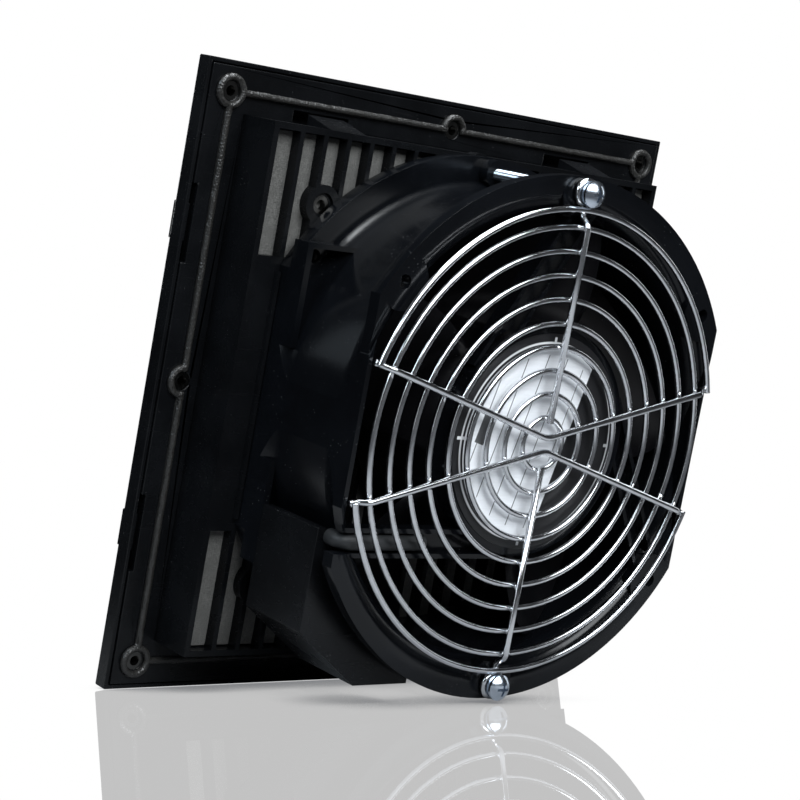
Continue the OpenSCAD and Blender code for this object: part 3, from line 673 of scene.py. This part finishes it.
class FILTERFAN_OT_hardware(bpy.types.Operator):
    """Finish screws, washers, inserts and the terminal parts"""

    bl_idname = "filterfan.hardware"
    bl_label = "Hardware"

    def execute(self, context):
        look = settings().guard
        zinc = bright_metal("Bright zinc", look.zinc, 0.24, 0.1)
        dress(zinc, "flat_washers", "spring_washers", "box_screw", "terminal_screws")
        dress(threaded_metal("Screw zinc", look.zinc, 0.22, -20.0, 66.0), "guard_screws")
        # The insert metal's dark colour is painted shade of the holes the inserts sit in.
        insert = threaded_metal("Insert metal", look.insert, 0.22, -20.0, 40.0)
        dress(insert, "panel_inserts", "corner_inserts", "fan_inserts")
        dress(moulded_plastic("Terminal plastic", (0.62, 0.61, 0.55), 0.5, 0.4), "terminal_block")
        dress(moulded_plastic("Grommet rubber", (0.014, 0.014, 0.014), 0.7, 0.25), "cable_grommet")
        return {"FINISHED"}


class FILTERFAN_OT_stage(bpy.types.Operator):
    """Set up the floor, the lamps, the white surroundings and the camera"""

    bl_idname = "filterfan.stage"
    bl_label = "Stage"

    def execute(self, context):
        look = settings().stage
        scene = context.scene
        scene.view_settings.view_transform = "Standard"
        self.add_floor(look)
        self.add_surroundings(scene)
        for lamp in LAMPS:
            self.add_lamp(scene, look, *lamp)
        self.add_camera(scene, look)
        return {"FINISHED"}

    def add_floor(self, look):
        """A wide floor on which the tilted plate and the lower guard screw rest."""
        bm = bmesh.new()
        bmesh.ops.create_grid(bm, x_segments=1, y_segments=1, size=FLOOR_HALF)
        lean = Matrix.Rotation(math.atan2(FLOOR_RISE, FLOOR_RUN), 4, "X")
        bmesh.ops.transform(bm, matrix=Matrix.Translation(PLATE_EDGE) @ lean, verts=bm.verts)
        new_mesh("floor", bm, white_floor(look.floor_gloss))

    def add_surroundings(self, scene):
        """White to the camera and in the floor's clear mirror, and dim fill light elsewhere."""
        scene.world = bpy.data.worlds.new("Studio")
        nodes = Nodes(scene.world, "ShaderNodeOutputWorld")
        white = nodes.node("ShaderNodeBackground", None, {"Color": (1, 1, 1, 1)})
        fill = nodes.node("ShaderNodeBackground", None, {"Color": (*FILL, 1)})
        seen = nodes.ray("Is Camera Ray").most(nodes.ray("Is Transmission Ray"))
        mirrored = nodes.ray("Is Glossy Ray") * nodes.ray("Is Singular Ray")
        nodes.close(nodes.blend(seen.most(mirrored), fill, white))

    def add_lamp(self, scene, look, name, place, target, size, power, colour):
        """A rectangular soft box aimed at a point."""
        light = bpy.data.lights.new(name, "AREA")
        light.shape = "RECTANGLE"
        light.size, light.size_y = size
        light.energy = power * look.lamp_power
        light.color = colour
        made = bpy.data.objects.new(name, light)
        scene.collection.objects.link(made)
        made.location = place
        made.rotation_euler = (Vector(target) - Vector(place)).to_track_quat("-Z", "Y").to_euler()

    def add_camera(self, scene, look):
        """A camera at the fitted place."""
        camera = bpy.data.objects.new("Camera", bpy.data.cameras.new("Camera"))
        scene.collection.objects.link(camera)
        camera.data.sensor_width = 36
        camera.data.lens = look.lens
        camera.data.clip_start = 0.01
        camera.location = look.camera_place
        camera.rotation_euler = look.camera_turn
        scene.camera = camera


class FILTERFAN_PT_panel(bpy.types.Panel):
    """Lists the steps and what can be changed"""

    bl_idname = "FILTERFAN_PT_panel"
    bl_label = "Filter fan"
    bl_space_type = "VIEW_3D"
    bl_region_type = "UI"
    bl_category = "Filter fan"

    def draw(self, context):
        for step in STEPS:
            self.layout.operator(step.bl_idname)
        for group in (settings().plate, settings().fan, settings().guard, settings().stage):
            box = self.layout.box()
            for key in group.__annotations__:
                box.prop(group, key)


STEPS = (
    FILTERFAN_OT_stage,
    FILTERFAN_OT_plate,
    FILTERFAN_OT_fleece,
    FILTERFAN_OT_bead,
    FILTERFAN_OT_fan_frame,
    FILTERFAN_OT_impeller,
    FILTERFAN_OT_motor,
    FILTERFAN_OT_guard,
    FILTERFAN_OT_hardware,
)
CLASSES = (PlateLook, FanLook, GuardLook, StageLook, FanSettings, *STEPS, FILTERFAN_PT_panel)


def register():
    for cls in CLASSES:
        bpy.utils.register_class(cls)
    bpy.types.Scene.filter_fan = PointerProperty(type=FanSettings)


def unregister():
    del bpy.types.Scene.filter_fan
    for cls in reversed(CLASSES):
        bpy.utils.unregister_class(cls)


def main():
    register()
    bpy.ops.filterfan.stage()
    bpy.ops.filterfan.plate()
    bpy.ops.filterfan.fleece()
    bpy.ops.filterfan.bead()
    bpy.ops.filterfan.fan_frame()
    bpy.ops.filterfan.impeller()
    bpy.ops.filterfan.motor()
    bpy.ops.filterfan.guard()
    bpy.ops.filterfan.hardware()


if __name__ == "__main__":
    main()
